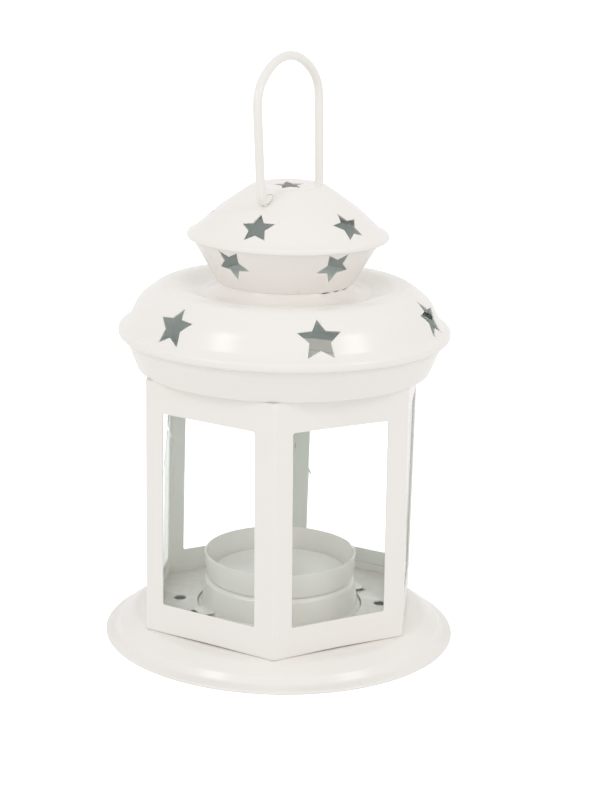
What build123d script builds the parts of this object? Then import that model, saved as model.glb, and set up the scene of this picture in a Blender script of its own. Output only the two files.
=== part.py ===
from build123d import *
import math
import os

# Driving dimensions, in millimetres. The origin is on the table under the middle of the base,
# +Z is up, and one corner of the six-sided cage points towards -Y.

sheet = 0.4           # tinplate
touch = 0.05          # two fixed pieces that bear on each other
loose = 0.4           # between pieces that move past each other

base_r = 48.0         # outer edge of the base
base_lip = 0.9        # upright edge at the foot of the base
base_hem = 1.7        # edge folded in under the base
base_top = 6.3        # flat top of the base
shelf_r = 39.7        # where the flat top turns down
knee_r = 43.3         # lower end of the steep part of the base
knee_z = 3.1
boss_r = 21.9         # pressed boss that carries the candle cup
boss_top = 15.6
boss_draft = 0.6
boss_foot = 1.4

cup_r = 20.75
cup_height = 7.1
cup_kick = 1.2        # the floor of the cup is pushed up by this

cage_r = 40.6         # corner radius of the six-sided cage
cage_bend = 1.2
cage_bottom = base_top + 0.3
window_w = 29.0
window_bottom = 14.4
window_top = 67.0
window_round = 0.6

glass = 1.5
glass_lap = 2.0       # the pane reaches this far behind the window's edge
tab_w = 3.0
tab_lap = 1.4

floor_top = 8.0
floor_flange = 1.2
air_hole_r = 2.0
air_edge = 2.3        # metal left between an air hole and the mouth of the floor plate
lug_w = 6.0
lug_reach = 3.4
lug_turn = -60.0      # azimuth of the first lug, from -Y towards +X
lug_lift = 0.5        # the lugs stand this far above the floor plate

collar_r = 42.3       # band under the roof
collar_foot_r = collar_r - 3.8
collar_bottom = window_top + 8.2
collar_rise = 7.4     # height of the tapered part
collar_throat_r = 32.0
cage_top = collar_bottom - touch
cage_throat_r = collar_throat_r + 1.0

rim_r = collar_r + 2.25  # curled rim of the roof
rim_tube = 1.2
rim_z = collar_bottom + 9.9
dome_foot = (collar_r - 0.1, rim_z + 2.3)
dome_knee = (39.2, rim_z + 8.5)
dome_top = rim_z + 12.8
dome_top_r = (29.0, 33.6)  # inner and outer edge of the flat top of the roof
dome_dip = (23.2, rim_z + 10.9)

chimney_foot_r = 18.3
chimney_foot_z = rim_z + 13.6
chimney_top_r = 25.4
chimney_top_z = chimney_foot_z + 12.05
neck_r = chimney_foot_r - 0.45
neck_top = chimney_foot_z + 1.7
neck_flare = 3.8

cap_r = chimney_top_r + 1.45
cap_tube = 0.7
cap_rim_z = chimney_top_z + 0.2
cap_flare = (cap_r - 1.7, cap_rim_z + 1.45)
cap_shoulder = (18.9, cap_rim_z + 7.15)
cap_crest = (9.75, cap_rim_z + 13.55)
dimple_r = 5.6
dimple_z = cap_crest[1] - 0.15

roof_star_r = 5.95
roof_star_count = 6
roof_star_turn = 15.2
roof_star_at = (40.05, rim_z + 6.7)
chimney_star_r = 4.9
chimney_star_count = 5
chimney_star_turn = -35.7
chimney_star_at = (22.6, chimney_foot_z + 7.3)
cap_star_r = 4.75
cap_star_count = 5
cap_star_turn = -19.9
cap_star_at = (21.2, cap_rim_z + 5.1)
cap_star_roll = 5.0
top_star_r = 4.0
star_waist = 0.49     # inner corner radius of a star over its tip radius

wire_r = 1.2
bail_turn = -25.6     # azimuth of the front leg of the bail
bail_aside = 1.1      # its swing axis passes the middle of the cap at this distance
bail_lean = 2.6       # degrees from upright
bail_arch_r = 17.0    # half the span of the arch
bail_foot_r = 16.3
bail_axis_z = cap_rim_z + 11.05
bail_arch_z = bail_axis_z + 24.0
bail_rise = 12.0      # from the ends of the arch to its crown
bail_shoulder = 9.0   # bend at each side of the crown
bail_bend = 2.0
bail_end_r = 10.8
bail_hole_r = wire_r + 0.5

# Sizes that follow from the ones above.

flat = math.cos(math.radians(30))
cage_in = cage_r * flat - sheet
window_h = window_top - window_bottom
window_mid = (window_top + window_bottom) / 2
pane_w = window_w + 2 * glass_lap
pane_h = window_h + 2 * glass_lap
floor_under = floor_top - sheet
lug_z = floor_top + lug_lift
mouth_r = boss_r + boss_foot + loose
air_ring_r = mouth_r + air_edge + air_hole_r


def unit(a, b):
    dx = b[0] - a[0]
    dy = b[1] - a[1]
    length = math.hypot(dx, dy)
    return dx / length, dy / length


def moved_aside(points, gap):
    # the same path, moved to its left by the gap, with its corner radii kept concentric
    out = []
    last = len(points) - 1
    for i, p in enumerate(points):
        before = unit(points[i - 1], p) if i else unit(p, points[1])
        after = unit(p, points[i + 1]) if i < last else before
        turn = before[0] * after[1] - before[1] * after[0]
        across = 1 + before[0] * after[0] + before[1] * after[1]
        x = p[0] - gap * (before[1] + after[1]) / across
        z = p[1] + gap * (before[0] + after[0]) / across
        bend = p[2] if len(p) > 2 else 0
        if bend:
            bend = bend - gap if turn > 0 else bend + gap
        out.append((x, z, bend))
    return out


def rounded_edges(points):
    # straight runs and tangent arcs through corners given as (r, z, bend radius)
    edges = []
    start = points[0]
    for i in range(1, len(points)):
        p = points[i]
        bend = p[2] if len(p) > 2 and i < len(points) - 1 else 0
        if bend <= 0:
            edges.append(Line((start[0], 0, start[1]), (p[0], 0, p[1])))
            start = p
            continue
        back = unit(p, points[i - 1])
        on = unit(p, points[i + 1])
        half = math.acos(max(-1, min(1, back[0] * on[0] + back[1] * on[1]))) / 2
        run = bend / math.tan(half)
        first = (p[0] + back[0] * run, p[1] + back[1] * run)
        second = (p[0] + on[0] * run, p[1] + on[1] * run)
        middle = unit((0, 0), (back[0] + on[0], back[1] + on[1]))
        reach = bend / math.sin(half) - bend
        peak = (p[0] + middle[0] * reach, p[1] + middle[1] * reach)
        if math.dist(start[:2], first) > 0.002:
            edges.append(Line((start[0], 0, start[1]), (first[0], 0, first[1])))
        else:
            first = start
        arc = [(q[0], 0, q[1]) for q in (first, peak, second)]
        edges.append(ThreePointArc(*arc))
        start = second
    return edges


def pressed_sheet(points, side):
    # sheet metal of revolution: the path is one face of the sheet, the other lies to its side
    other = moved_aside(points, side * sheet)
    edges = rounded_edges(points) + rounded_edges(other)
    ends = [(points[0], other[0]), (points[-1], other[-1])]
    for a, b in ends:
        edges.append(Line((a[0], 0, a[1]), (b[0], 0, b[1])))
    outline = Wire(edges)
    return revolve(Face(outline), Axis.Z, 360)


def facing(azimuth):
    turn = math.radians(azimuth)
    return Vector(math.sin(turn), -math.cos(turn), 0)


def star_punch(place, slope, azimuth, tip_r, roll):
    # a prism with a five-pointed outline, square to the sheet at the place (r, z)
    out = facing(azimuth)
    normal = out * slope[0] + Vector(0, 0, slope[1])
    across = Vector(-out.Y, out.X, 0)
    centre = out * place[0] + Vector(0, 0, place[1])
    corners = []
    for i in range(10):
        size = tip_r if i % 2 == 0 else tip_r * star_waist
        turn = math.radians(90 + roll + 36 * i)
        corners.append((size * math.cos(turn), size * math.sin(turn)))
    plane = Plane(centre, x_dir=across, z_dir=normal)
    return extrude(plane * make_face(Polyline(*corners, close=True)), 4, both=True)


def square_to(a, b):
    # direction square to the line from a down to b of a sheet's profile, outward
    run = unit(a, b)
    return -run[1], run[0]


def star_ring(count, first, place, slope, tip_r, roll):
    step = 360 / count
    return [star_punch(place, slope, first + step * i, tip_r, roll) for i in range(count)]


def hexagon(corner_r, z, bend):
    outline = RegularPolygon(corner_r, 6, rotation=30)
    return Pos(0, 0, z) * fillet(outline.vertices(), bend)


def on_facet(i, piece):
    # a piece drawn on the facet that faces +X, turned to facet number i
    return Rot(0, 0, 60 * i) * piece


def block(low, high):
    size = [h - l for l, h in zip(low, high)]
    return Pos(*low) * Box(*size, align=(Align.MIN, Align.MIN, Align.MIN))


def lug_frame(i):
    return Rot(0, 0, lug_turn - 90 + 180 * i)


def make_base_dish():
    profile = [
        (0, boss_top),
        (boss_r - boss_draft, boss_top, 1.6),
        (boss_r, floor_top + 1.6, 3.0),
        (boss_r + boss_foot + 0.4, base_top, 0.9),
        (shelf_r, base_top, 2.4),
        (knee_r, knee_z, 3.0),
        (base_r - 2.2, base_lip + 0.9, 3.0),
        (base_r, base_lip - 0.2, 0.8),
        (base_r, 0, 0.55),
        (base_r - base_hem, 0),
    ]
    dish = pressed_sheet(profile, -1)
    lug = block((boss_r - sheet, -lug_w / 2, lug_z), (boss_r + lug_reach, lug_w / 2, lug_z + sheet))
    for i in range(2):
        dish += lug_frame(i) * lug
    return dish


def make_candle_cup():
    ring_r = cup_r - 1.8
    profile = [
        (cup_r, boss_top + cup_height),
        (cup_r, boss_top, 0.9),
        (ring_r, boss_top, 0.6),
        (ring_r - 0.9, boss_top + cup_kick, 1.0),
        (0, boss_top + cup_kick),
    ]
    return pressed_sheet(profile, -1)


def make_cage_frame():
    height = cage_top - cage_bottom
    tube = extrude(hexagon(cage_r, cage_bottom, cage_bend), height)
    tube -= extrude(hexagon(cage_in / flat, cage_bottom, cage_bend - sheet), height - sheet)
    tube -= Pos(0, 0, cage_top) * Cylinder(cage_throat_r, 4)
    window = Plane.YZ * RectangleRounded(window_w, window_h, window_round)
    opening = Pos(cage_in - 2, 0, window_mid) * extrude(window, 4)
    stub_in = cage_in - glass
    half = tab_w / 2
    for i in range(6):
        tube -= on_facet(i, opening)
    for i in range(6):
        for edge, way in ((window_mid - pane_h / 2, 1), (window_mid + pane_h / 2, -1)):
            outside = edge - way * sheet
            low, high = sorted((edge, outside))
            stub = block((stub_in - sheet, -half, low), (cage_in, half, high))
            low, high = sorted((outside, edge + way * tab_lap))
            lip = block((stub_in - sheet, -half, low), (stub_in, half, high))
            tube += on_facet(i, stub + lip)
    return tube


def make_glass_pane(i):
    pane = Box(glass, pane_w, pane_h, align=(Align.MAX, Align.CENTER, Align.CENTER))
    return on_facet(i, Pos(cage_in, 0, window_mid) * pane)


def make_floor_plate():
    corner = 2.0
    plate = extrude(hexagon(cage_in / flat, floor_top - floor_flange, corner), floor_flange)
    hollow = hexagon((cage_in - sheet) / flat, floor_top - floor_flange, corner - sheet)
    plate -= extrude(hollow, floor_flange - sheet)
    plate -= Pos(0, 0, floor_under) * Cylinder(mouth_r, 4)
    notch_w = lug_w + 2 * loose
    notch_r = boss_r + lug_reach + loose
    notch = block((mouth_r - 2, -notch_w / 2, floor_under - 1), (notch_r, notch_w / 2, floor_top + 1))
    for i in range(2):
        plate -= lug_frame(i) * notch
    for i in range(6):
        plate -= on_facet(i, Pos(air_ring_r, 0, floor_under) * Cylinder(air_hole_r, 4))
    return plate


def make_roof_collar():
    top = rim_z + rim_tube - sheet
    profile = [
        (collar_throat_r, collar_bottom),
        (collar_foot_r, collar_bottom, 0.8),
        (collar_r, collar_bottom + collar_rise, 6.0),
        (collar_r, top),
    ]
    return pressed_sheet(profile, 1)


def make_roof_dome():
    rim_top = rim_z + rim_tube
    rim_bottom = rim_z - rim_tube
    roll = rim_tube - 0.02
    profile = [
        (neck_r, neck_top),
        (neck_r, dome_dip[1], neck_flare),
        (*dome_dip, 4.0),
        (dome_top_r[0], dome_top, 5.0),
        (dome_top_r[1], dome_top, 6.0),
        (*dome_knee, 8.0),
        (*dome_foot, 3.0),
        (rim_r, rim_top, roll),
        (rim_r, rim_bottom, roll),
        (collar_r + touch, rim_bottom),
    ]
    dome = pressed_sheet(profile, -1)
    slope = square_to(dome_knee, dome_foot)
    for star in star_ring(roof_star_count, roof_star_turn, roof_star_at, slope, roof_star_r, 0):
        dome -= star
    return dome


def chimney_r(z):
    # outside radius of the funnel at a height
    rise = (z - chimney_foot_z) / (chimney_top_z - chimney_foot_z)
    return chimney_foot_r + rise * (chimney_top_r - chimney_foot_r)


def make_chimney():
    foot = (chimney_foot_r, chimney_foot_z)
    top = (chimney_top_r, chimney_top_z)
    funnel = pressed_sheet([foot, top], 1)
    slope = square_to(top, foot)
    point_down = 180
    stars = star_ring(chimney_star_count, chimney_star_turn, chimney_star_at,
                      slope, chimney_star_r, point_down)
    for star in stars:
        funnel -= star
    return funnel


def bail_pin(radius, inner, outer):
    # a round bar along the swing axis of the bail, from the inner to the outer distance
    middle = facing(bail_turn + 90) * bail_aside + Vector(0, 0, bail_axis_z)
    plane = Plane(middle, x_dir=(0, 0, 1), z_dir=facing(bail_turn))
    return extrude(plane.offset(inner) * Circle(radius), outer - inner)


def make_cap():
    rim_top = cap_rim_z + cap_tube
    rim_bottom = cap_rim_z - cap_tube
    roll = cap_tube - 0.02
    profile = [
        (0, dimple_z),
        (dimple_r, dimple_z, 0.8),
        (dimple_r + 0.9, cap_crest[1], 0.8),
        (*cap_crest, 2.4),
        (*cap_shoulder, 25.0),
        (*cap_flare, 2.5),
        (cap_r, rim_top, roll),
        (cap_r, rim_bottom, roll),
        (chimney_r(rim_bottom + sheet) + touch, rim_bottom),
    ]
    cap = pressed_sheet(profile, -1)
    slope = square_to(cap_shoulder, cap_flare)
    stars = star_ring(cap_star_count, cap_star_turn, cap_star_at, slope, cap_star_r, cap_star_roll)
    stars.append(star_punch((0, dimple_z), (0, 1), 0, top_star_r, 12))
    for star in stars:
        cap -= star
    cap -= bail_pin(bail_hole_r, -20, 20)
    return cap


def bail_leg(side, join):
    # hooked end, leg and shoulder, up to the point where the crown begins
    leg = rounded_edges([
        (side * bail_end_r, bail_axis_z),
        (side * bail_foot_r, bail_axis_z, bail_bend),
        (side * bail_arch_r, bail_arch_z),
    ])
    top = (side * bail_arch_r, 0, bail_arch_z)
    shoulder = TangentArc(top, (side * join[0], 0, join[1]), tangent=(0, 0, 1))
    return leg + [shoulder]


def make_bail_handle():
    inset = bail_arch_r - bail_shoulder
    slack = bail_rise - bail_shoulder
    drop = (inset ** 2 - slack ** 2) / (2 * slack)
    side = unit((0, -drop), (inset, 0))
    join = [(drop + bail_rise) * side[0], bail_arch_z - drop + (drop + bail_rise) * side[1]]
    crown = ThreePointArc((join[0], 0, join[1]), (0, 0, bail_arch_z + bail_rise), (-join[0], 0, join[1]))
    path = Wire(bail_leg(1, join) + [crown] + bail_leg(-1, join))
    tip = Plane((bail_end_r, 0, bail_axis_z), x_dir=(0, 0, 1), z_dir=(1, 0, 0))
    wire = sweep(tip * Circle(wire_r), path=path, transition=Transition.ROUND)
    upright = Pos(0, 0, -bail_axis_z) * wire
    leaning = Pos(0, bail_aside, bail_axis_z) * Rot(bail_lean, 0, 0) * upright
    return Rot(0, 0, bail_turn - 90) * leaning


os.makedirs("parts", exist_ok=True)
export_step(make_base_dish(), "parts/base_dish.step")
export_step(make_candle_cup(), "parts/candle_cup.step")
export_step(make_cage_frame(), "parts/cage_frame.step")
export_step(make_floor_plate(), "parts/floor_plate.step")
for number in range(6):
    export_step(make_glass_pane(number), f"parts/glass_pane_{number + 1}.step")
export_step(make_roof_collar(), "parts/roof_collar.step")
export_step(make_roof_dome(), "parts/roof_dome.step")
export_step(make_chimney(), "parts/chimney.step")
export_step(make_cap(), "parts/cap.step")
export_step(make_bail_handle(), "parts/bail_handle.step")
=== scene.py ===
import bisect
import math
import bmesh
import bpy
from mathutils import Matrix, Vector, geometry


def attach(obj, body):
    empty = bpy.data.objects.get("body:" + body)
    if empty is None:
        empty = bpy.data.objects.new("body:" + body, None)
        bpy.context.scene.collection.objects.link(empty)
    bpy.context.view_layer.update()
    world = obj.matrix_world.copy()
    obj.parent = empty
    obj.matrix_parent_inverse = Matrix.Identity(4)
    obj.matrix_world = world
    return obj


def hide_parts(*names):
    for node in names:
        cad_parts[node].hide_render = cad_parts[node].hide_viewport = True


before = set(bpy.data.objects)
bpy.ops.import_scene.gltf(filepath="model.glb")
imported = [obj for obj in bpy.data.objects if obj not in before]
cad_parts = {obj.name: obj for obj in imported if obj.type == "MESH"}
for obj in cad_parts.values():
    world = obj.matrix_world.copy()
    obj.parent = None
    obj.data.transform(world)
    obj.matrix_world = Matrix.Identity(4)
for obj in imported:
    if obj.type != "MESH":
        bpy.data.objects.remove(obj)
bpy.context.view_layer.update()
mm = 0.001
tin = 0.4  # gauge of the tinplate in mm; all sizes of the pieces below are in mm too
print("frame loaded:", len(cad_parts), "nodes")


def linear(hexColour):
    channels = [int(hexColour[i:i + 2], 16) / 255 for i in (1, 3, 5)]
    return [c / 12.92 if c <= 0.04045 else ((c + 0.055) / 1.055) ** 2.4 for c in channels] + [1.0]


def perMm(size):
    # scale of a pattern whose features have this size in mm, since the pieces' coordinates are metres
    return 1 / (size * mm)


def addNode(tree, kind, inputs, **settings):
    # an input is a value, a socket, or a node that gives its first output
    node = tree.nodes.new(kind)
    for name, value in settings.items():
        setattr(node, name, value)
    for key, value in inputs.items():
        if isinstance(value, bpy.types.Node):
            value = value.outputs[0]
        if isinstance(value, bpy.types.NodeSocket):
            tree.links.new(value, node.inputs[key])
        else:
            node.inputs[key].default_value = value
    return node


def newMaterial(name):
    material = bpy.data.materials.new(name)
    material.use_nodes = True
    material.node_tree.nodes.clear()
    return material, material.node_tree


enamelLook = {  # warm white enamel baked on tinplate: half gloss, faint orange peel, soft dents
    "coat": "#F6F4F0", "warmCoat": "#F4EEE8", "driftMm": 40,
    # one darker colour: dust in the pinholes, and painted shade in the folds
    "dustAndShade": "#DAD2C8",
    "speckMm": 0.55, "speckFrom": (0.70, 0.80), "speckShare": 0.10,  # dust in pinholes
    "foldDustAndShadeFrom": (0.47, 0.40), "foldDustAndShadeShare": 0.35,  # painted shade in the concave folds in the dust colour, with the dust that gathers there
    "thinCoat": "#C6C3BD",
    "chipMm": 2.6, "edgeFrom": (0.56, 0.70), "edgeShare": 0.7,  # where the coat pulls back from a sharp edge
    "peelMm": 1.5, "peelDepth": 0.012, "dentMm": 16, "dentDepth": 0.14, "bump": 0.5,
    "rough": (0.19, 0.26), "roughFrom": (0.3, 0.7), "ior": 1.5,
}


def bakedEnamel(name, look):
    material, tree = newMaterial(name)
    place = addNode(tree, "ShaderNodeTexCoord", {}).outputs["Object"]
    bend = addNode(tree, "ShaderNodeNewGeometry", {}).outputs["Pointiness"]
    cloud, share = {}, {}
    for key, detail in (("drift", 2), ("speck", 1), ("chip", 4), ("dent", 1), ("peel", 1.5)):
        cloud[key] = addNode(tree, "ShaderNodeTexNoise", {"Vector": place, "Scale": perMm(look[key + "Mm"]),
                                                          "Detail": detail})
    for key, source in (("speck", cloud["speck"]), ("edge", bend), ("foldDustAndShade", bend)):
        low, high = look[key + "From"]
        share[key] = addNode(tree, "ShaderNodeMapRange", {"Value": source, "From Min": low, "From Max": high,
                                                          "To Min": 0.0, "To Max": look[key + "Share"]})
    worn = addNode(tree, "ShaderNodeMath", {0: share["edge"], 1: cloud["chip"]}, operation="MULTIPLY")
    tone = linear(look["coat"])
    # the concave folds take the darker colour as painted shade, together with the dust that gathers there
    for part, colour in ((cloud["drift"], "warmCoat"), (share["speck"], "dustAndShade"), (worn, "thinCoat"),
                         (share["foldDustAndShade"], "dustAndShade")):
        mix = addNode(tree, "ShaderNodeMix", {0: part, 6: tone, 7: linear(look[colour])}, data_type="RGBA")
        tone = mix.outputs[2]
    dents = addNode(tree, "ShaderNodeBump", {"Height": cloud["dent"], "Strength": look["bump"],
                                             "Distance": look["dentDepth"] * mm})
    peel = addNode(tree, "ShaderNodeBump", {"Height": cloud["peel"], "Strength": look["bump"],
                                            "Distance": look["peelDepth"] * mm, "Normal": dents})
    low, high = look["roughFrom"]
    rough = addNode(tree, "ShaderNodeMapRange", {"Value": cloud["drift"], "From Min": low, "From Max": high,
                                                 "To Min": look["rough"][0], "To Max": look["rough"][1]})
    coat = addNode(tree, "ShaderNodeBsdfPrincipled", {"Base Color": tone, "Roughness": rough,
                                                      "IOR": look["ior"], "Normal": peel})
    addNode(tree, "ShaderNodeOutputMaterial", {"Surface": coat})
    return material


glassLook = {  # float glass: clear with a breath of green, dulled by finger marks in places
    "tint": "#FBFDFC", "shade": "#FCFEFD",
    "smudgeMm": 14, "smudgeFrom": (0.45, 0.75), "rough": (0.01, 0.06),
    "ior": 1.38,  # below the 1.5 of real glass: the panes hardly bend or mirror what is behind them
}


def floatGlass(name, look):
    material, tree = newMaterial(name)
    place = addNode(tree, "ShaderNodeTexCoord", {}).outputs["Object"]
    smudge = addNode(tree, "ShaderNodeTexNoise", {"Vector": place, "Scale": perMm(look["smudgeMm"]),
                                                  "Detail": 3})
    low, high = look["smudgeFrom"]
    rough = addNode(tree, "ShaderNodeMapRange", {"Value": smudge, "From Min": low, "From Max": high,
                                                 "To Min": look["rough"][0], "To Max": look["rough"][1]})
    solid = addNode(tree, "ShaderNodeBsdfPrincipled", {"Base Color": linear(look["tint"]), "IOR": look["ior"],
                                                       "Roughness": rough, "Transmission Weight": 1.0})
    clear = addNode(tree, "ShaderNodeBsdfTransparent", {"Color": linear(look["shade"])})
    rays = addNode(tree, "ShaderNodeLightPath", {}).outputs
    light = addNode(tree, "ShaderNodeMath", {0: rays["Is Shadow Ray"], 1: rays["Is Diffuse Ray"]},
                    operation="MAXIMUM")
    both = addNode(tree, "ShaderNodeMixShader", {0: light, 1: solid, 2: clear})  # daylight passes the panes
    addNode(tree, "ShaderNodeOutputMaterial", {"Surface": both})
    return material


sheetEnamel = bakedEnamel("bakedEnamelOnTinplate", enamelLook)
thinEnamel = bakedEnamel("thinEnamelInsideTinplate", {  # inside, the coat is thin, cooler and duller; its darker dust colour also paints shade into the folds
    **enamelLook, "coat": "#F1F5F3", "warmCoat": "#ECF2F0", "dustAndShade": "#D6DAD7", "rough": (0.34, 0.42)})
wireEnamel = bakedEnamel("dippedEnamelOnWire", {  # runs of the dip instead of dents
    **enamelLook, "dentMm": 9, "dentDepth": 0.05})
clearGlass = floatGlass("arrisedFloatGlass", glassLook)
print("materials made")


# bent and punched sheet
def unit(a, b):
    length = math.dist(a[:2], b[:2])
    return (b[0] - a[0]) / length, (b[1] - a[1]) / length


def bentPath(corners, step=1.5, turnStep=12, least=0.02):
    # corners are (r, z) or (r, z, bend radius); gives points along the straight runs and the bends
    knots = [corners[0][:2]]
    for i in range(1, len(corners) - 1):
        corner = corners[i]
        if len(corner) < 3:
            knots.append(corner)
            continue
        back, on, bend = unit(corner, corners[i - 1]), unit(corner, corners[i + 1]), corner[2]
        half = math.acos(max(-1, min(1, back[0] * on[0] + back[1] * on[1]))) / 2
        inward = unit((0, 0), (back[0] + on[0], back[1] + on[1]))
        centre = [corner[k] + inward[k] * bend / math.sin(half) for k in (0, 1)]
        start = [corner[k] + back[k] * bend / math.tan(half) for k in (0, 1)]
        first = math.atan2(start[1] - centre[1], start[0] - centre[0])
        sweep = math.copysign(math.pi - 2 * half, back[1] * on[0] - back[0] * on[1])
        count = max(2, math.ceil(abs(math.degrees(sweep)) / turnStep))
        turns = [first + sweep * k / count for k in range(count + 1)]
        knots += [(centre[0] + bend * math.cos(t), centre[1] + bend * math.sin(t)) for t in turns]
    knots.append(corners[-1][:2])
    points = [knots[0]]
    for a, b in zip(knots[:-1], knots[1:]):
        pieces = math.ceil(math.dist(a, b) / step) if math.dist(a, b) > least else 0
        points += [(a[0] + (b[0] - a[0]) * k / pieces, a[1] + (b[1] - a[1]) * k / pieces)
                   for k in range(1, pieces + 1)]
    return points


def divided(loop, step):
    points = []
    for a, b in zip(loop, loop[1:] + loop[:1]):
        pieces = max(1, math.ceil(math.dist(a, b) / step))
        points += [(a[0] + (b[0] - a[0]) * k / pieces, a[1] + (b[1] - a[1]) * k / pieces)
                   for k in range(pieces)]
    return points


def isInside(point, polygon):
    inside = False
    for a, b in zip(polygon, polygon[1:] + polygon[:1]):
        if (a[1] > point[1]) != (b[1] > point[1]):
            inside ^= point[0] < (b[0] - a[0]) * (point[1] - a[1]) / (b[1] - a[1]) + a[0]
    return inside


def starOutline(tip, roll, waist=0.49, waistGrowth=0.7):
    # the waist is the radius of the inner corners over that of the tips
    def outline(grow):
        sizes = [waist * tip + waistGrowth * grow if i % 2 else tip + grow for i in range(10)]
        turns = [math.radians(90 + roll + 36 * i) for i in range(10)]
        return [(size * math.cos(turn), size * math.sin(turn)) for size, turn in zip(sizes, turns)]

    return outline


def ovalOutline(halfWide, halfTall, count=28):
    turns = [2 * math.pi * i / count for i in range(count)]
    return lambda grow: [((halfWide + grow) * math.cos(t), (halfTall + grow) * math.sin(t)) for t in turns]


def flatPattern(free, loops, isCut):
    # triangles of a flat pattern: free points, edge loops that must be kept, and a test for what is cut away
    points, edges = [Vector(p) for p in free], []
    for loop in loops:
        first = len(points)
        points += [Vector(p) for p in loop]
        edges += [(first + i, first + (i + 1) % len(loop)) for i in range(len(loop))]
    spots, _, triangles = geometry.delaunay_2d_cdt(points, edges, [], 0, 1e-6)[:3]
    faces = [face for face in triangles if not isCut(sum((spots[i] for i in face), Vector((0, 0))) / 3)]
    used = sorted({i for face in faces for i in face})
    place = {old: new for new, old in enumerate(used)}
    return [spots[i] for i in used], [[place[i] for i in face] for face in faces]


def addPiece(name, points, faces, look, outward=None, sample=40):
    # look says which body the piece rides on, which node it stands for and what it is made of;
    # outward gives the way out at a spot, and a sample of the faces shows whether the mesh agrees
    mesh = bpy.data.meshes.new(name)
    mesh.from_pydata([Vector(p) * mm for p in points], [], faces)
    mesh.materials.append(look["material"])
    if "lining" in look:
        mesh.materials.append(look["lining"])
    mesh.shade_smooth()
    if outward and sum(f.normal.dot(outward(f.center / mm)) for f in list(mesh.polygons)[::sample]) < 0:
        mesh.flip_normals()
    piece = bpy.data.objects.new(name, mesh)
    bpy.context.scene.collection.objects.link(piece)
    return dress(piece, look)


def dress(piece, look):
    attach(piece, look["body"])
    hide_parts(look["node"])
    return piece


def thicken(piece, edge=0.08, sharp=40):
    # the mesh is the outer face; the gauge goes inward, and the coat rounds the cut edges
    gauge = piece.modifiers.new("gauge", "SOLIDIFY")
    gauge.thickness = tin * mm
    gauge.offset = -1
    gauge.material_offset = len(piece.data.materials) - 1
    coat = piece.modifiers.new("coatedEdge", "BEVEL")
    coat.width = edge * mm
    coat.segments = 2
    coat.angle_limit = math.radians(sharp)
    shade = piece.modifiers.new("shade", "WEIGHTED_NORMAL")
    shade.keep_sharp = True
    return piece


punch = {  # how the sheet is meshed round a cut, and how far the punch pulls the rim of the cut inward
    "edgeStep": 0.6, "rings": (0.25, 0.8), "ringStep": 0.9, "clear": 0.9, "rim": 0.3, "burr": 0.12,
    "spare": 0.5,  # added to a cut's size before its outline is tried
}


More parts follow.
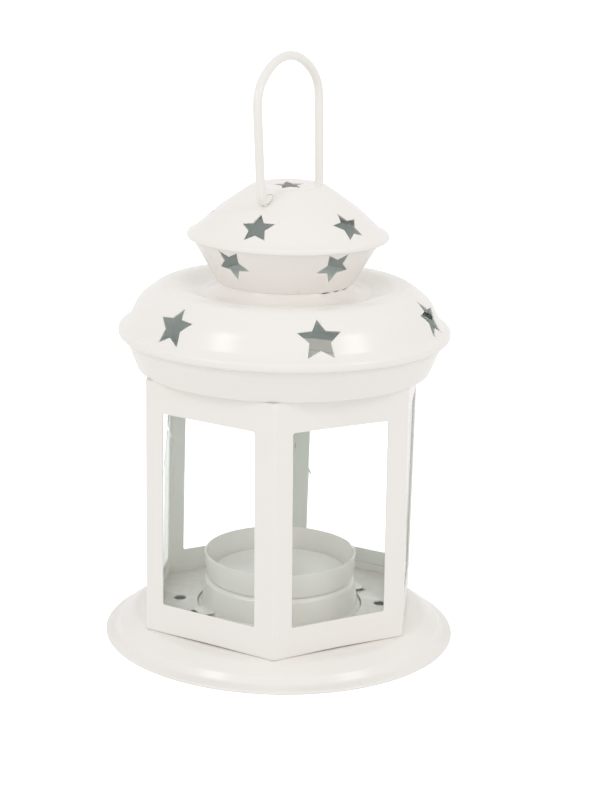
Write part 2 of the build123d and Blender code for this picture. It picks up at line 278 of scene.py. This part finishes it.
def turnedSheet(name, look):
    # a pressed sheet that goes round Z; its profile runs outward from the axis or the inner edge, and
    # each cut has its azimuth from -Y towards +X, its place (r, z) on the profile and its outline
    profile = bentPath(look["profile"])
    runs = [0.0]
    for a, b in zip(profile[:-1], profile[1:]):
        runs.append(runs[-1] + math.dist(a, b))
    hub = profile[0][0]
    widest = max(r for r, z in profile)

    def spot(run):
        i = min(max(bisect.bisect_left(runs, run) - 1, 0), len(runs) - 2)
        k = min(1, max(0, (run - runs[i]) / (runs[i + 1] - runs[i])))
        a, b = profile[i], profile[i + 1]
        return a[0] + (b[0] - a[0]) * k, a[1] + (b[1] - a[1]) * k, unit(a, b)

    def runOf(place):
        return min(runs[:-1], key=lambda run: math.dist(spot(run)[:2], place))

    def flat(run, azimuth):
        return (hub + run) * math.sin(azimuth), -(hub + run) * math.cos(azimuth)

    def bent(p):
        return math.hypot(*p) - hub, math.atan2(p[0], -p[1])

    cuts = []
    for cut in look.get("cuts", []):
        grows = (0, punch["rim"], punch["clear"], *punch["rings"])
        cut = {**cut, "grown": {grow: cut["outline"](grow) for grow in grows}}
        if cut["at"][0] == 0:
            cuts.append({**cut, "run": None})
            continue
        near = runOf(cut["at"])
        r, z, along = spot(near)
        near += (cut["at"][0] - r) * along[0] + (cut["at"][1] - z) * along[1]
        cuts.append({**cut, "run": near, "up": math.copysign(1, along[1])})

    def onCut(cut, run, azimuth):
        # place on the cut's own drawing, x along the azimuth and y up the sheet
        if cut["run"] is None:
            return run * math.sin(azimuth), -run * math.cos(azimuth)
        turn = azimuth - math.radians(cut["azimuth"])
        x = spot(run)[0] * math.sin(turn) if math.cos(turn) > 0 else math.inf
        return x, (run - cut["run"]) * cut["up"]

    def fromCut(cut, p):
        if cut["run"] is None:
            return p
        run = cut["run"] + p[1] * cut["up"]
        return flat(run, math.radians(cut["azimuth"]) + math.asin(p[0] / spot(run)[0]))

    def within(run, azimuth, grow):
        for cut in cuts:
            p = onCut(cut, run, azimuth)
            if math.hypot(*p) < cut["size"] + grow + punch["spare"] and isInside(p, cut["grown"][grow]):
                return True
        return False

    free, loops = [], []
    for run, (r, z) in zip(runs, profile):
        if r < 0.01:  # on the axis
            if not any(cut["run"] is None for cut in cuts):
                free.append((0, 0))
            continue
        count = max(look["leastAround"], round(look["around"] * min(1, 2 * r / widest)))
        ring = [(run, 2 * math.pi * k / count) for k in range(count)]
        if run in (0, runs[-1]):
            loops.append([flat(*p) for p in ring])
        else:
            free += [flat(*p) for p in ring if not within(*p, punch["clear"])]
    for cut in cuts:
        loops.append([fromCut(cut, p) for p in divided(cut["grown"][0], punch["edgeStep"])])
        for grow in punch["rings"]:
            free += [fromCut(cut, p) for p in divided(cut["grown"][grow], punch["ringStep"])]

    def isCut(p):
        run, azimuth = bent(p)
        return run < 0 or within(run, azimuth, 0)

    spots, faces = flatPattern(free, loops, isCut)
    points = []
    for p in spots:
        run, azimuth = bent(p)
        r, z, along = spot(run)
        outside = (-along[1] * look["outside"], along[0] * look["outside"])
        push = punch["burr"] if within(run, azimuth, punch["rim"]) else 0
        if "dent" in look:
            push += look["dent"](r, math.degrees(azimuth))
        r, z = r - outside[0] * push, z - outside[1] * push
        points.append((r * math.sin(azimuth) + look.get("shift", 0), -r * math.cos(azimuth), z))

    def outward(centre):
        reach = math.hypot(centre.x, centre.y)
        along = spot(runOf((reach, centre.z)))[2]
        across = -along[1] * look["outside"]
        return Vector((centre.x / reach * across, centre.y / reach * across, along[0] * look["outside"]))

    return thicken(addPiece(name, points, faces, look, outward))


tinLook = {"material": sheetEnamel, "slot": "white_enamel", "around": 168, "leastAround": 36}
roofLook = {**tinLook, "body": "head", "lining": thinEnamel}


# base and candle cup
base = {
    **tinLook, "body": "base", "node": "base_dish", "outside": 1,
    "profile": [(0, 15.6), (20.5, 15.6, 1.4), (21.5, 8.4, 1.4), (23.7, 6.3, 0.9), (40.2, 6.3, 3),
                (44.1, 3.5, 1.6), (45.4, 1.5, 1.4), (48, 0.7, 0.5), (48, 0, 0.3), (46.3, 0)],
    "lugs": {"azimuths": (-60, 120), "inner": 21.3, "outer": 25.3, "wide": 6, "z": 8.5,
             "round": 1.2, "roundSteps": 6},
}
cup = {
    **tinLook, "body": "base", "node": "candle_cup", "outside": -1,
    "profile": [(0, 16.8), (18.05, 16.8, 1), (18.95, 15.6, 0.6), (20.1, 15.6, 0.9), (20.75, 22.7)],
}


def turnedTo(azimuth, points):
    # points drawn facing -Y, as (across, out, z), turned to their azimuth
    turn = Matrix.Rotation(math.radians(azimuth), 3, "Z")
    return [turn @ Vector((across, -out, z)) for across, out, z in points]


def lugMesh(lugs):
    half, tip, steps = lugs["wide"] / 2, lugs["outer"], lugs["roundSteps"]
    outline = [(-half, lugs["inner"]), (half, lugs["inner"])]
    for side, start in ((1, 0), (-1, 90)):
        for k in range(steps + 1):
            turn = math.radians(start + 90 * k / steps)
            outline.append((side * (half - lugs["round"]) + lugs["round"] * math.cos(turn),
                            tip - lugs["round"] + lugs["round"] * math.sin(turn)))
    points, faces = [], []
    for azimuth in lugs["azimuths"]:
        faces.append([len(points) + i for i in range(len(outline))])
        points += turnedTo(azimuth, [(x, y, lugs["z"] + tin) for x, y in outline])
    return points, faces


turnedSheet("baseDish", base)
turnedSheet("candleCup", cup)
print("base and cup made")


# six-sided cage with its floor plate and panes
cage = {
    **tinLook, "body": "head", "node": "cage_frame",
    "cornerR": 40.6, "bend": 1.2, "low": 6.37, "high": 75.28, "throatR": 33.0, "throatSteps": 90,
    "window": {"wide": 29.0, "low": 14.4, "high": 67.0, "round": 0.6,
               "astray": (1.6, 0, 0, 0, 0, -1.1)},  # the two rear windows are off the middle of their sides
    "tabs": {"wide": 3.0, "lap": 1.4, "bend": 0.5, "clipped": 0.5, "edge": 0.1},
    "twist": (0.7, -0.7),  # degrees at the foot and at the top: it was folded a little out of true
    "aside": 0.65, "skew": 0.064, "narrow": 0.022,  # its side corners are off their true places
    "trueR": 25, "trueFade": 8, "sideX": 30,  # the plate's middle and the front and rear corners stay true
    "sprung": 0.25, "sprungUp": 1,  # the foot touches the base at its corners only
    "grid": {"bend": 3, "across": 22, "up": 40, "margin": 0.4, "marginRound": 1},
}
pane = {
    "body": "head", "material": clearGlass, "slot": "clear_glass",
    "thick": 0.6, "lap": 4.0, "clipped": 0.8, "arris": 0.2,
}
floorPlate = {
    **tinLook, "body": "head", "node": "floor_plate",
    "top": 8.0, "flange": 1.2, "cornerBend": 2.0, "mouthR": 22.7, "mouthSteps": 40,
    "notch": {"azimuths": (-60, 120), "wide": 6.8, "outer": 25.7},
    "air": {"r": 2.0, "ringR": 28.0, "steps": 32},
}
apothem = cage["cornerR"] * math.cos(math.radians(30))
cageIn = apothem - tin
plateStep = 2  # between points along the edges of flat plates


def twisted(points):
    low, high, (first, last) = cage["low"], cage["high"], cage["twist"]
    foot = low + cage["sprungUp"]
    placed = []
    for p in points:
        turn = first + (last - first) * (p[2] - low) / (high - low)
        spot = Matrix.Rotation(math.radians(turn), 3, "Z") @ Vector(p)
        share = max(0, min(1, (spot.xy.length - cage["trueR"]) / cage["trueFade"]))
        aside = (cage["aside"] + cage["skew"] * spot.y) * min(1, abs(spot.x) / cage["sideX"])
        spot.x += share * (aside - cage["narrow"] * spot.x)
        if p[2] < foot:
            spot.z += cage["sprung"] * (1 - math.cos(6 * math.atan2(p[0], -p[1]))) / 2 * (foot - p[2])
        placed.append(spot)
    return placed


def hexagonRun(reach, bend):
    # half the straight part of a facet, the arc of a corner, and the pitch from facet to facet
    half = (reach - bend) * math.tan(math.radians(30))
    arc = bend * math.radians(60)
    return half, arc, 2 * half + arc


def onHexagon(run, reach, bend):
    # the run starts at the middle of the rear corner and goes towards -X first
    half, _, pitch = hexagonRun(reach, bend)
    facet = math.floor(run / pitch)
    along = run - (facet + 0.5) * pitch
    middle = math.radians(210 + 60 * facet)
    across = max(-half, min(half, along))
    turn = (along - across) / bend
    across += bend * math.sin(turn)
    out = reach + bend * (math.cos(turn) - 1)
    return (out * math.sin(middle) + across * math.cos(middle),
            -out * math.cos(middle) + across * math.sin(middle))


def hexagonLoop(reach, bend, count=180):
    whole = 6 * hexagonRun(reach, bend)[2]
    return [onHexagon(whole * k / count, reach, bend) for k in range(count)]


def circleLoop(x, y, r, count):
    turns = [2 * math.pi * k / count for k in range(count)]
    return [(x + r * math.cos(t), y + r * math.sin(t)) for t in turns]


def roundedBox(width, low, high, bend, steps=4):
    corners = [(width / 2, high), (-width / 2, high), (-width / 2, low), (width / 2, low)]
    points = []
    for i, (x, z) in enumerate(corners):
        centre = (x - math.copysign(bend, x), z - bend if z == high else z + bend)
        for k in range(steps + 1):
            turn = math.radians(90 * i + 90 * k / steps)
            points.append((centre[0] + bend * math.cos(turn), centre[1] + bend * math.sin(turn)))
    return points


def cageMesh(look):
    half, arc, pitch = hexagonRun(apothem, look["bend"])
    window, grid = look["window"], look["grid"]
    turns, wide, tall, clear = grid["bend"], grid["across"], grid["up"], grid["margin"]
    across = [(-half - arc / 2) + arc / 2 * k / turns for k in range(turns)]
    across += [-half + 2 * half * k / wide for k in range(wide + 1)]
    across += [half + arc / 2 * k / turns for k in range(1, turns)]
    stations = [(facet + 0.5) * pitch + a for facet in range(6) for a in across] + [6 * pitch]
    rows = [look["low"] + (look["high"] - tin / 2 - look["low"]) * k / tall for k in range(tall + 1)]
    margin = roundedBox(window["wide"] + 2 * clear, window["low"] - clear, window["high"] + clear,
                        grid["marginRound"])
    opening = roundedBox(window["wide"], window["low"], window["high"], window["round"])

    def inWindow(p, outline):
        facet = min(5, int(p[0] / pitch))
        return isInside((p[0] - (facet + 0.5) * pitch - window["astray"][facet], p[1]), outline)

    free = [(s, z) for s in stations[1:-1] for z in rows[1:-1] if not inWindow((s, z), margin)]
    edge = [(s, rows[0]) for s in stations] + [(stations[-1], z) for z in rows[1:]]
    edge += [(s, rows[-1]) for s in stations[-2::-1]] + [(stations[0], z) for z in rows[-2:0:-1]]
    loops = [edge]
    for facet in range(6):
        middle = (facet + 0.5) * pitch + window["astray"][facet]
        loops.append([(middle + x, z) for x, z in divided(opening, plateStep)])
    spots, faces = flatPattern(free, loops, lambda p: inWindow(p, opening))
    return [(*onHexagon(s, apothem, look["bend"]), z) for s, z in spots], faces


def tabMesh(look):
    window, tabs = look["window"], look["tabs"]
    inner = cageIn - pane["thick"] - tin
    points, faces = [], []
    for facet in range(6):
        for edge, way in ((window["low"] - pane["lap"], 1), (window["high"] + pane["lap"], -1)):
            outside = edge - way * tin
            path = bentPath([(cageIn, outside), (inner, outside, tabs["bend"]),
                             (inner, edge + way * tabs["lap"])], step=0.6, turnStep=20)
            for i, (out, z) in enumerate(path):
                half = tabs["wide"] / 2 - (tabs["clipped"] if i == len(path) - 1 else 0)
                points += turnedTo(30 + 60 * facet, [(-half, out, z), (half, out, z)])
                if i:
                    n = len(points)
                    faces.append([n - 4, n - 3, n - 1, n - 2] if way > 0 else [n - 3, n - 4, n - 2, n - 1])
    return points, faces


def paneMesh(look, azimuth):
    window = cage["window"]
    half = window["wide"] / 2 + look["lap"]
    low, high = window["low"] - look["lap"], window["high"] + look["lap"]
    clip = look["clipped"]
    outline = [(half, low + clip), (half, high - clip), (half - clip, high), (clip - half, high),
               (-half, high - clip), (-half, low + clip), (clip - half, low), (half - clip, low)]
    count = len(outline)
    points = turnedTo(azimuth, [(x, cageIn, z) for x, z in outline])
    points += turnedTo(azimuth, [(x, cageIn - look["thick"], z) for x, z in outline])
    faces = [list(range(count)), list(range(2 * count - 1, count - 1, -1))]
    faces += [[i, i + count, (i + 1) % count + count, (i + 1) % count] for i in range(count)]
    return points, faces


def floorMesh(look):
    edge = hexagonLoop(cageIn, look["cornerBend"])
    notch, air, steps = look["notch"], look["air"], look["mouthSteps"]
    notchTurn = math.degrees(math.asin(notch["wide"] / 2 / look["mouthR"]))
    mouth = []
    for azimuth in notch["azimuths"]:
        corners = [(-notch["wide"] / 2, notch["outer"]), (notch["wide"] / 2, notch["outer"])]
        mouth += [(p.x, p.y) for p in turnedTo(azimuth, [(x, out, 0) for x, out in corners])]
        for k in range(steps + 1):
            turn = azimuth + notchTurn + (180 - 2 * notchTurn) * k / steps
            mouth += [(p.x, p.y) for p in turnedTo(turn, [(0, look["mouthR"], 0)])]
    holes = []
    for facet in range(6):
        centre = turnedTo(30 + 60 * facet, [(0, air["ringR"], 0)])[0]
        holes.append(circleLoop(centre.x, centre.y, air["r"], air["steps"]))

    def isCut(p):
        return isInside(p, mouth) or any(isInside(p, hole) for hole in holes)

    spots, faces = flatPattern([], [divided(edge, plateStep), divided(mouth, plateStep)] + holes, isCut)
    return [(p.x, p.y, look["top"]) for p in spots], faces


def flangeMesh(look):
    # the top edge of the cage is folded in under the roof
    edge = hexagonLoop(apothem, look["bend"])
    throat = circleLoop(0, 0, look["throatR"], look["throatSteps"])
    spots, faces = flatPattern([], [divided(edge, plateStep), throat], lambda p: isInside(p, throat))
    return [(p.x, p.y, look["high"]) for p in spots], faces


def upward(centre):
    return Vector((0, 0, 1))


def away(centre):
    return Vector((centre.x, centre.y, 0))


def closeSeam(piece, gap=0.002):
    # the two ends of the strip meet at the rear corner
    mesh = bmesh.new()
    mesh.from_mesh(piece.data)
    bmesh.ops.remove_doubles(mesh, verts=mesh.verts, dist=gap * mm)
    mesh.to_mesh(piece.data)
    mesh.free()


def foldFlange(piece, look, rimWide=1):
    # the plate's outer edge is folded down inside the cage
    mesh = bmesh.new()
    mesh.from_mesh(piece.data)
    inner = (cageIn - rimWide) * mm
    rim = [e for e in mesh.edges if e.is_boundary and min(v.co.xy.length for v in e.verts) > inner]
    made = bmesh.ops.extrude_edge_only(mesh, edges=rim)["geom"]
    corners = [v for v in made if isinstance(v, bmesh.types.BMVert)]
    bmesh.ops.translate(mesh, verts=corners, vec=(0, 0, -look["flange"] * mm))
    bmesh.ops.recalc_face_normals(mesh, faces=mesh.faces)
    mesh.to_mesh(piece.data)
    mesh.free()


points, faces = cageMesh(cage)
cagePiece = addPiece("cageFrame", twisted(points), faces, cage, away)
closeSeam(cagePiece)
thicken(cagePiece)
points, faces = flangeMesh(cage)
thicken(addPiece("cageFlange", twisted(points), faces, cage, upward))
points, faces = tabMesh(cage)
thicken(addPiece("paneTabs", twisted(points), faces, cage), cage["tabs"]["edge"])
points, faces = floorMesh(floorPlate)
floorPiece = addPiece("floorPlate", twisted(points), faces, floorPlate, upward)
foldFlange(floorPiece, floorPlate)
thicken(floorPiece)
points, faces = lugMesh(base["lugs"])
thicken(addPiece("baseLugs", twisted(points), faces, base, upward))
for number in range(6):
    points, faces = paneMesh(pane, 90 + 60 * number)
    look = {**pane, "node": f"glass_pane_{number + 1}"}
    piece = addPiece(f"pane{number + 1}", twisted(points), faces, look)
    piece.data.polygons.foreach_set("use_smooth", [False] * len(faces))
    arris = piece.modifiers.new("arris", "BEVEL")
    arris.width = pane["arris"] * mm
    arris.segments = 2
print("cage, floor plate and panes made")


# roof, chimney and cap
def ringOf(count, first, at, tip, roll, strays):
    # evenly spaced stars, but for the few that were punched some degrees astray
    outline = starOutline(tip, roll)
    return [{"azimuth": first + 360 / count * i + strays.get(i, 0), "at": at, "outline": outline,
             "size": tip} for i in range(count)]


collar = {
    **roofLook, "node": "roof_collar", "outside": -1,
    "profile": [(32, 75.2), (39.3, 75.2, 0.6), (42.3, 82.6, 6), (42.3, 85.9)],
}
dome = {
    **roofLook, "node": "roof_dome", "outside": 1,
    "profile": [(17.85, 100.4), (17.85, 96, 3.8), (23.2, 96, 4), (29, 97.9, 5), (33.6, 97.9, 6),
                (39.2, 93.6, 8), (42.2, 87.4, 3), (44.55, 86.3, 1.18), (44.55, 83.9, 1.18), (42.35, 83.9)],
    "cuts": ringOf(count=6, first=15.2, at=(40.05, 91.8), tip=5.95, roll=0, strays={5: 2.2})
    + [{"azimuth": azimuth, "at": (17.88, 98.4), "outline": ovalOutline(wide, 0.14), "size": 1.6}
       for azimuth, wide in ((38, 1.4), (50, 1.2), (62, 1.2))],  # the seam under the chimney stands open here
}
chimney = {
    **roofLook, "node": "chimney", "outside": -1,
    "profile": [(18.3, 98.7), (25.4, 110.75)],
    "cuts": ringOf(count=5, first=-35.7, at=(22.6, 106), tip=5.1, roll=180, strays={}),
}
bailAxis = {"azimuth": -25.6, "aside": 1.1, "z": 122.0}
bailHole = {"r": 1.3, "inward": 0.27, "up": 0.19, "size": 3.0}  # a little up the slope from the axis
capCrest, capShoulder = (9.75, 124.5), (18.9, 118.1)  # upper and lower end of the cap's slope
capSlope = math.atan2(capCrest[1] - capShoulder[1], capShoulder[0] - capCrest[0])
bailReach = capShoulder[0] - (bailAxis["z"] - capShoulder[1]) / math.tan(capSlope)
capShift = 0.45  # towards +X: the cap sits a little off the axis, and its holes follow the bail
capAside = bailAxis["aside"] - capShift * math.cos(math.radians(bailAxis["azimuth"]))
bailOff = math.degrees(math.asin(capAside / bailReach))
bailTurns = (bailOff, 180 - bailOff)
capTop = {"tip": 0.075, "tipR": 6.5, "levelR": 9.5, "fade": 3}  # slope, and the radii between which it fades


def tippedTop(r, azimuth):
    # the flat top of the cap is pressed a little out of level, lower in front
    share = max(0, min(1, (capTop["levelR"] - r) / capTop["fade"]))
    return capTop["tip"] * min(r, capTop["tipR"]) * share * math.cos(math.radians(azimuth))


cap = {
    **roofLook, "node": "cap", "outside": 1, "dent": tippedTop, "shift": capShift,
    "profile": [(0, 124.35), (5.6, 124.35, 0.8), (6.5, 124.5, 0.8), (*capCrest, 2.4), (*capShoulder, 25),
                (25.15, 112.4, 2.5), (26.85, 111.65, 0.68), (26.85, 110.25, 0.68), (25.39, 110.25)],
    "cuts": ringOf(count=5, first=-19.9, at=(21.2, 116.05), tip=4.75, roll=5, strays={1: -2.5, 4: -4})
    + [{"azimuth": 0, "at": (0, 124.35), "outline": starOutline(tip=4.3, roll=12), "size": 4.3}]
    + [{"azimuth": bailAxis["azimuth"] + turn,
        "at": (bailReach - bailHole["inward"], bailAxis["z"] + bailHole["up"]),
        "outline": ovalOutline(bailHole["r"], bailHole["r"] / math.sin(capSlope)), "size": bailHole["size"]}
       for turn in bailTurns],
}
turnedSheet("roofCollar", collar)
turnedSheet("roofDome", dome)
turnedSheet("chimney", chimney)
turnedSheet("cap", cap)
print("roof, chimney and cap made")


# wire bail
bail = {
    "body": "bail", "node": "bail_handle", "material": wireEnamel, "slot": "enamelled_wire",
    "wireR": 1.2, "archR": 17.0, "footR": 16.3, "archZ": 146.0, "rise": 12.0, "shoulder": 9.0, "bend": 2.0,
    "endR": 10.8, "lean": 2.6, "shoulderSteps": 8, "crownSteps": 24, "roundSteps": 6,
}


def bailPath(look):
    leg = bentPath([(look["endR"], bailAxis["z"]), (look["footR"], bailAxis["z"], look["bend"]),
                    (look["archR"], look["archZ"])], step=2, turnStep=10)
    inset, slack = look["archR"] - look["shoulder"], look["rise"] - look["shoulder"]
    drop = (inset ** 2 - slack ** 2) / (2 * slack)
    crownR, last = drop + look["rise"], math.atan2(drop, inset)
    steps, shoulder = look["shoulderSteps"], look["shoulder"]
    turns = [last * k / steps for k in range(1, steps + 1)]
    leg += [(inset + shoulder * math.cos(t), look["archZ"] + shoulder * math.sin(t)) for t in turns]
    steps = look["crownSteps"]
    turns = [last + (math.pi - 2 * last) * k / steps for k in range(1, steps)]
    crown = [(crownR * math.cos(t), look["archZ"] - drop + crownR * math.sin(t)) for t in turns]
    return leg + crown + [(-r, z) for r, z in reversed(leg)]


def wirePiece(name, path, look):
    curve = bpy.data.curves.new(name, "CURVE")
    curve.dimensions = "3D"
    curve.bevel_depth = look["wireR"] * mm
    curve.bevel_resolution = look["roundSteps"]
    curve.use_fill_caps = True
    spline = curve.splines.new("POLY")
    spline.points.add(len(path) - 1)
    lean = math.radians(look["lean"])
    points = []
    for r, z in path:
        up = z - bailAxis["z"]
        points.append((bailAxis["aside"] - up * math.sin(lean), r, bailAxis["z"] + up * math.cos(lean)))
    for point, place in zip(spline.points, turnedTo(bailAxis["azimuth"], points)):
        point.co = (*(place * mm), 1)
    spline.use_smooth = True
    curve.materials.append(look["material"])
    piece = bpy.data.objects.new(name, curve)
    bpy.context.scene.collection.objects.link(piece)
    return dress(piece, look)


wirePiece("bailWire", bailPath(bail), bail)
print("bail made")


# floor, light and camera
stage = {  # sizes in metres
    "floor": "#F4F4F4", "floorHalf": 3.0, "aimZ": 0.07, "skyFill": 0.82,
    "lift": 0.7, "glossLift": 0.2,  # glow of the white floor for rays that see it, and less of it in a gloss
}
view = {  # the photograph's own view: lengths in mm, angles in degrees, focal length and long side in pixels
    "reach": 529.8, "height": 207.35, "azimuth": 2.4, "pitch": 14.96, "yaw": 0.49, "roll": -1.24,
    "focal": 2024.1, "longSide": 799, "sensor": 36, "nearest": 10,
}
lamps = [  # angles in degrees, distance and size in metres
    {"name": "softboxLeft", "azimuth": -47, "elevation": 35, "far": 1.0, "size": 0.24, "watts": 0.75},
    {"name": "softboxRight", "azimuth": 60, "elevation": 35, "far": 1.0, "size": 0.24, "watts": 0.75},
    {"name": "frontFill", "azimuth": -4, "elevation": 16, "far": 1.2, "size": 0.5, "watts": 0.6},
]


def aimed(azimuth, elevation, far, target):
    turn, lift = math.radians(azimuth), math.radians(elevation)
    out = math.cos(lift)
    place = target + far * Vector((math.sin(turn) * out, -math.cos(turn) * out, math.sin(lift)))
    return Matrix.Translation(place) @ (target - place).to_track_quat("-Z", "Y").to_matrix().to_4x4()


def seenRays(tree):
    # rays that see the white studio itself: straight from the camera, in a gloss or through the panes
    rays = addNode(tree, "ShaderNodeLightPath", {}).outputs
    seen = rays["Is Camera Ray"]
    for other in ("Is Glossy Ray", "Is Transmission Ray"):
        seen = addNode(tree, "ShaderNodeMath", {0: seen, 1: rays[other]}, operation="MAXIMUM")
    return seen


def addFloor(look):
    half = look["floorHalf"]
    corners = [(-half, -half, 0), (half, -half, 0), (half, half, 0), (-half, half, 0)]
    mesh = bpy.data.meshes.new("floor")
    mesh.from_pydata(corners, [], [(0, 1, 2, 3)])
    material, tree = newMaterial("paintedStudioFloor")
    matt = addNode(tree, "ShaderNodeBsdfDiffuse", {"Color": linear(look["floor"])})
    rays = addNode(tree, "ShaderNodeLightPath", {}).outputs
    inGloss = addNode(tree, "ShaderNodeMath", {0: rays["Is Glossy Ray"], 1: rays["Is Transmission Ray"]},
                      operation="SUBTRACT", use_clamp=True)  # a ray through smudged glass counts as both
    lift = addNode(tree, "ShaderNodeMapRange", {"Value": inGloss, "To Min": look["lift"],
                                                "To Max": look["glossLift"]})
    glow = addNode(tree, "ShaderNodeEmission", {"Color": (1, 1, 1, 1), "Strength": lift})
    lit = addNode(tree, "ShaderNodeAddShader", {0: matt, 1: glow})
    seen = addNode(tree, "ShaderNodeMixShader", {0: seenRays(tree), 1: matt, 2: lit})
    addNode(tree, "ShaderNodeOutputMaterial", {"Surface": seen})
    mesh.materials.append(material)
    floor = bpy.data.objects.new("floor", mesh)
    bpy.context.scene.collection.objects.link(floor)


def addSky(look):
    world = bpy.data.worlds.new("studio")
    world.use_nodes = True
    tree = world.node_tree
    tree.nodes.clear()
    fill = addNode(tree, "ShaderNodeBackground", {"Color": (1, 1, 1, 1), "Strength": look["skyFill"]})
    seen = addNode(tree, "ShaderNodeBackground", {"Color": (1, 1, 1, 1), "Strength": 1.0})
    both = addNode(tree, "ShaderNodeMixShader", {0: seenRays(tree), 1: fill, 2: seen})
    addNode(tree, "ShaderNodeOutputWorld", {"Surface": both})
    bpy.context.scene.world = world


def addLamps(rows, target):
    for row in rows:
        lamp = bpy.data.lights.new(row["name"], "AREA")
        lamp.size = row["size"]
        lamp.energy = row["watts"]
        light = bpy.data.objects.new(row["name"], lamp)
        light.matrix_world = aimed(row["azimuth"], row["elevation"], row["far"], target)
        bpy.context.scene.collection.objects.link(light)


def addCamera(look):
    yaw, pitch, roll = (math.radians(look[key]) for key in ("yaw", "pitch", "roll"))
    ahead = Vector((math.sin(yaw) * math.cos(pitch), math.cos(yaw) * math.cos(pitch), -math.sin(pitch)))
    level = Vector((math.cos(yaw), -math.sin(yaw), 0))
    above = level.cross(ahead)
    right = level * math.cos(roll) - above * math.sin(roll)
    up = level * math.sin(roll) + above * math.cos(roll)
    lens = bpy.data.cameras.new("camera")
    lens.sensor_width = look["sensor"]
    lens.lens = look["sensor"] * look["focal"] / look["longSide"]
    lens.clip_start = look["nearest"] * mm
    camera = bpy.data.objects.new("camera", lens)
    axes = Matrix((right, up, -ahead)).transposed().to_4x4()
    place = Matrix.Translation(Vector((0, -look["reach"], look["height"])) * mm)
    camera.matrix_world = Matrix.Rotation(math.radians(look["azimuth"]), 4, "Z") @ place @ axes
    bpy.context.scene.collection.objects.link(camera)
    bpy.context.scene.camera = camera


addFloor(stage)
addSky(stage)
addLamps(lamps, Vector((0, 0, stage["aimZ"])))
addCamera(view)
bpy.context.scene.view_settings.view_transform = "Standard"
print("stage set")
